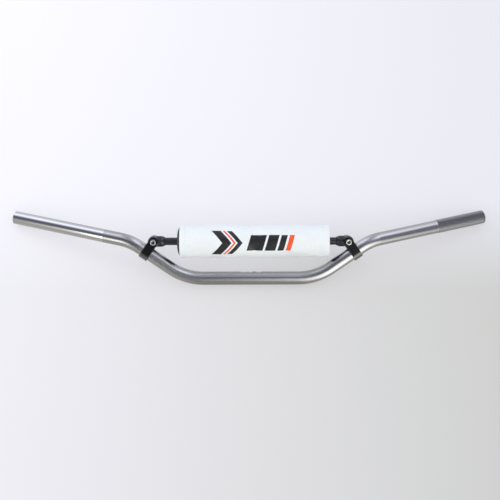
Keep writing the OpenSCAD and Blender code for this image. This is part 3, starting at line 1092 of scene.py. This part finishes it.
def pad_foam():
    """Foam tube with domed ends and a slit along its back."""
    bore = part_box("crossbar_tube")[1].z - CROSS_Z + 0.06 * MM
    x0, x1 = FOAM_LO.x, FOAM_HI.x
    full_r = FOAM_HI.z - CROSS_Z
    dome_r, dome = 24.3 * MM, COVER_LO.x - FOAM_LO.x
    slit = 0.5 * MM
    shoulder_len = 3.4 * MM
    outline = []

    def bulge(r):
        return dome * (r / dome_r) ** 4

    steps = 20
    for k in range(steps + 1):
        r = bore + (dome_r - bore) * sin(pi / 2 * k / steps)
        if k == 0:
            outline.append((r, x0 + bulge(r) + 0.5 * MM))
            r += 0.45 * MM
        outline.append((r, x0 + bulge(r)))
    shoulder = full_r - 0.15 * MM - dome_r
    for k in range(1, 9):
        outline.append((dome_r + shoulder * smoothstep(0, 1, k / 8),
                        x0 + dome + shoulder_len * k / 8))
    middle = 120
    inner0 = x0 + dome + shoulder_len
    inner1 = x1 - (inner0 - x0)
    for k in range(1, middle):
        outline.append((full_r - 0.15 * MM, inner0 + (inner1 - inner0) * k / middle))
    outline += [(r, x1 + x0 - x) for r, x in outline[:steps + 10][::-1]]
    segments = 160
    gap = 0.15 * MM

    def under_cover(x):
        """The most room the foam has inside the cover near a place, however the cover is turned."""
        places = [min(max(x + step * 1.1 * MM, PAD_RIGHT), PAD_LEFT) for step in (-1, 0, 1)]
        return min(cover_radius(TAU * k / 72, place)
                   for place in places for k in range(72)) - COVER_T - gap

    outline = [(min(r, under_cover(x)) if x > PAD_RIGHT - 0.5 * MM else r, x) for r, x in outline]
    loops = []
    for k in range(segments + 1):
        loop = []
        for r, x in outline:
            open_a = asin(slit / r)
            a = open_a + (TAU - 2 * open_a) * k / segments
            out = Vector((cos(a), sin(a)))
            fade = smoothstep(0, 0.25, min(a, TAU - a))
            lump = 0.16 * MM * ripple(r * 260 * out.x, r * 260 * out.y, x * 260) * fade
            end = r > bore + 0.2 * MM and min(x - x0, x1 - x) < 3 * MM
            loop.append(on_cross(r, a, x + lump if end else x))
        loops.append(loop)
    verts, faces = loft(loops)
    o = mesh_object("pad_foam_core", verts, faces, "foam", 50)
    belongs(o, "pad_foam_body", "foam_black", "pad_foam")


for side_name, side in (("left", 1), ("right", -1)):
    clamp_screw(side_name, side)
    clamp(side_name, side)
    crossbar_end(side_name, side)
knurling()
pad_foam()
pad_cover()
closure()
stitches()

# ---- stage: one pale sheet behind, light, camera ----
ELEVATION = radians(7.0)
YAW = radians(1.17)
TARGET = Vector((-1.45, 0.0, 46.8)) * MM
DISTANCE = 1.5
LENS = 65.45


def camera():
    look = Vector((sin(YAW) * cos(ELEVATION), cos(YAW) * cos(ELEVATION), -sin(ELEVATION)))
    right = Vector((cos(YAW), -sin(YAW), 0))
    up = right.cross(look)
    data = bpy.data.cameras.new("camera")
    data.lens = LENS
    data.sensor_width = 36.0
    data.clip_start, data.clip_end = 0.01, 50.0
    cam = put_in(bpy.data.objects.new("camera", data))
    place = TARGET - DISTANCE * look
    cam.matrix_world = Matrix((
        (right.x, up.x, -look.x, place.x),
        (right.y, up.y, -look.y, place.y),
        (right.z, up.z, -look.z, place.z),
        (0, 0, 0, 1)))
    bpy.context.scene.camera = cam


LEAN = radians(61.0)
SHEET_GLOW_SHARE = 0.55
SHEET_GLOW = 1.15


def backdrop():
    """A pale sheet the bar lies against, seen only from its front."""
    along = Vector((0, cos(LEAN), sin(LEAN)))
    origin = Vector((0, BAR_R + 2 * MM, 0))
    me = bpy.data.meshes.new("backdrop")
    half, low, high = 3.0, -2.0, 3.0
    me.from_pydata([origin + Vector((sx * half, 0, 0)) + along * s
                    for sx, s in ((-1, low), (1, low), (1, high), (-1, high))],
                   [], [(0, 1, 2, 3)])
    m = bpy.data.materials.new("pale_sheet")
    t = tree_of(m)
    p = t.place()
    x, _, z = t.split(p)
    paper = t.noise(p, 9.0, 3.0, 0.5)
    # painted light: the sheet is palest at the top left and darker to the right and lower down, standing for light
    # that falls off across it
    across = t.remap(x, -0.40, 0.40)
    low = t.mix(across, rgb(0.79, 0.78, 0.82), rgb(0.575, 0.575, 0.56))
    high = t.mix(across, rgb(0.855, 0.845, 0.90), rgb(0.75, 0.75, 0.80))
    colour = t.mix(t.remap(z, -0.02, 0.12), low, high)
    colour = t.mix(t.mul(paper, 0.05), colour, rgb(0.80, 0.80, 0.80))
    diffuse = t.new("ShaderNodeBsdfDiffuse")
    t.put(diffuse.inputs["Color"], colour)
    # painted light: the sheet partly glows with its own colour, though it is no lamp, which keeps its shadows soft
    # and pale
    glow = t.new("ShaderNodeEmission")
    t.put(glow.inputs["Color"], colour)
    glow.inputs["Strength"].default_value = SHEET_GLOW
    lit = t.new("ShaderNodeMixShader")
    lit.inputs[0].default_value = SHEET_GLOW_SHARE
    t.put(lit.inputs[1], diffuse.outputs[0])
    t.put(lit.inputs[2], glow.outputs[0])
    mixer = t.new("ShaderNodeMixShader")
    t.put(mixer.inputs[0], t.new("ShaderNodeNewGeometry").outputs["Backfacing"])
    t.put(mixer.inputs[1], lit.outputs[0])
    t.put(mixer.inputs[2], t.new("ShaderNodeBsdfTransparent").outputs[0])
    t.put(t.new("ShaderNodeOutputMaterial").inputs[0], mixer.outputs[0])
    me.materials.append(m)
    o = put_in(bpy.data.objects.new("backdrop", me))
    o.visible_glossy = False


def area(name, place, aim, size, power, colour):
    data = bpy.data.lights.new(name, "AREA")
    data.shape = "RECTANGLE"
    data.size, data.size_y = size
    data.energy = power
    data.color = colour
    o = put_in(bpy.data.objects.new(name, data))
    o.location = place
    o.rotation_mode = "QUATERNION"
    o.rotation_quaternion = (Vector(aim) - Vector(place)).to_track_quat("-Z", "Y")
    o.visible_camera = False
    o.visible_glossy = False


def lights():
    area("window", (-0.55, -0.45, 1.35), (-0.1, 0, 0.05), (1.9, 0.75), 4.6, (0.93, 0.94, 1.0))
    world = bpy.data.worlds.new("world")
    bpy.context.scene.world = world
    t = tree_of(world)
    x, y, z = t.split(t.new("ShaderNodeTexCoord").outputs["Generated"])
    # angle in the plane across the bar: 0 towards the camera, 90 straight up
    lift = t.lift(y, z)
    turn = t.math("DIVIDE", t.add(lift, pi), TAU)

    def at(degrees):
        return (degrees + 180) / 360

    # the window's lower edge slants from one side to the other
    slanted_turn = t.add(turn, t.mul(x, 33 / 360))
    slanted_turn = t.add(slanted_turn, t.mul(t.remap(x, 0.40, 0.46, 0.0, 12 / 360),
                                             t.remap(x, 0.49, 0.55, 1.0, 0.0)))
    room = t.ramp(slanted_turn, [(at(degrees), shade) for degrees, shade in (
        (-180, (0.95, 0.95, 0.97)),
        (-134, (0.60, 0.59, 0.56)),
        (-110, (0.55, 0.54, 0.51)),
        (-70, (0.52, 0.51, 0.49)),
        (-46, (0.38, 0.38, 0.38)),
        (-14, (0.22, 0.22, 0.23)),
        (10, (0.14, 0.138, 0.175)),
        (22, (0.19, 0.19, 0.25)),
        (34, (0.48, 0.49, 0.57)),
        (58, (1.32, 1.37, 1.56)),
        (70, (1.36, 1.40, 1.60)),
        (84, (1.08, 1.10, 1.20)),
        (105, (0.96, 0.97, 1.04)),
        (180, (0.95, 0.95, 0.97)))])
    # past the window's far end the wall is dark up to the ceiling
    wall = t.mix(t.remap(lift, radians(62), radians(118)), rgb(0.12, 0.12, 0.15),
                 rgb(1.10, 1.10, 1.20))
    past = t.mul(t.remap(x, 0.44, 0.49, smooth=True),
                 t.remap(lift, radians(4), radians(24), smooth=True))
    room = t.mix(past, room, wall)

    # straight ahead the window is half covered, and the ground lies in the pad's shade
    centre = t.remap(t.math("ABSOLUTE", x), 0.06, 0.30, 1.0, 0.0, smooth=True)
    shine = t.mixf(centre, t.remap(x, -0.30, 0.30, 1.18, 1.45), 0.36)
    below = t.mixf(centre, 1.0, t.remap(lift, radians(-14), radians(8), 0.74, 1.0))
    shine = t.mixf(t.remap(lift, radians(30), radians(50)), below, shine)
    for outside in (t.remap(lift, radians(76), radians(94)),
                    t.remap(lift, radians(-60), radians(-40), 1.0, 0.0)):
        shine = t.mixf(outside, shine, t.mixf(centre, 1.0, 0.72))
    room = t.vec("SCALE", room, scale=shine)

    def lobe(slant, foot, full, fade, end, reach):
        """A low warm reflector: its height in degrees, and how strong it is at places along x."""
        level = t.add(lift, t.mul(x, radians(slant)))
        high = t.mul(t.remap(level, radians(foot), radians(full), smooth=True),
                     t.remap(level, radians(fade), radians(end), 1.0, 0.0, smooth=True))
        most = max(value for _, value in reach)
        along = t.ramp(t.mul(t.add(x, 1.0), 0.5),
                       [((place + 1) / 2, (value / most,) * 3) for place, value in reach])
        warm = t.vec("MULTIPLY", along, (most, most * 0.99, most * 0.94))
        return t.vec("SCALE", warm, scale=high)

    left = lobe(0, -57, -29, -22, 0, (
        (-0.72, 0.0), (-0.68, 0.25), (-0.645, 0.6), (-0.62, 4.7), (-0.57, 4.7), (-0.53, 0.0)))
    right = lobe(60, -58, -19, -5, 24, (
        (0.04, 0.0), (0.08, 1.2), (0.3, 2.4), (0.42, 2.6), (0.5, 2.3), (0.58, 1.8), (0.64, 0.8),
        (0.68, 0.25), (0.74, 0.0)))
    seen = t.vec("ADD", t.vec("ADD", room, left), right)
    fill = t.ramp(t.remap(z, -1.0, 1.0), (
        (0.0, (0.95, 0.93, 0.88)), (0.25, (1.20, 1.18, 1.13)), (0.6, (0.97, 0.98, 0.99)),
        (1.0, (0.72, 0.76, 0.88))))
    paths = t.new("ShaderNodeLightPath")
    colour = t.mix(paths.outputs["Is Diffuse Ray"], seen, fill)
    colour = t.mix(paths.outputs["Is Camera Ray"], colour, rgb(0.90, 0.90, 0.93))
    sky = t.new("ShaderNodeBackground")
    t.put(sky.inputs["Color"], colour)
    t.put(t.new("ShaderNodeOutputWorld").inputs[0], sky.outputs[0])


camera()
backdrop()
lights()
scene = bpy.context.scene
scene.view_settings.view_transform = "Standard"
scene.cycles.use_denoising = True
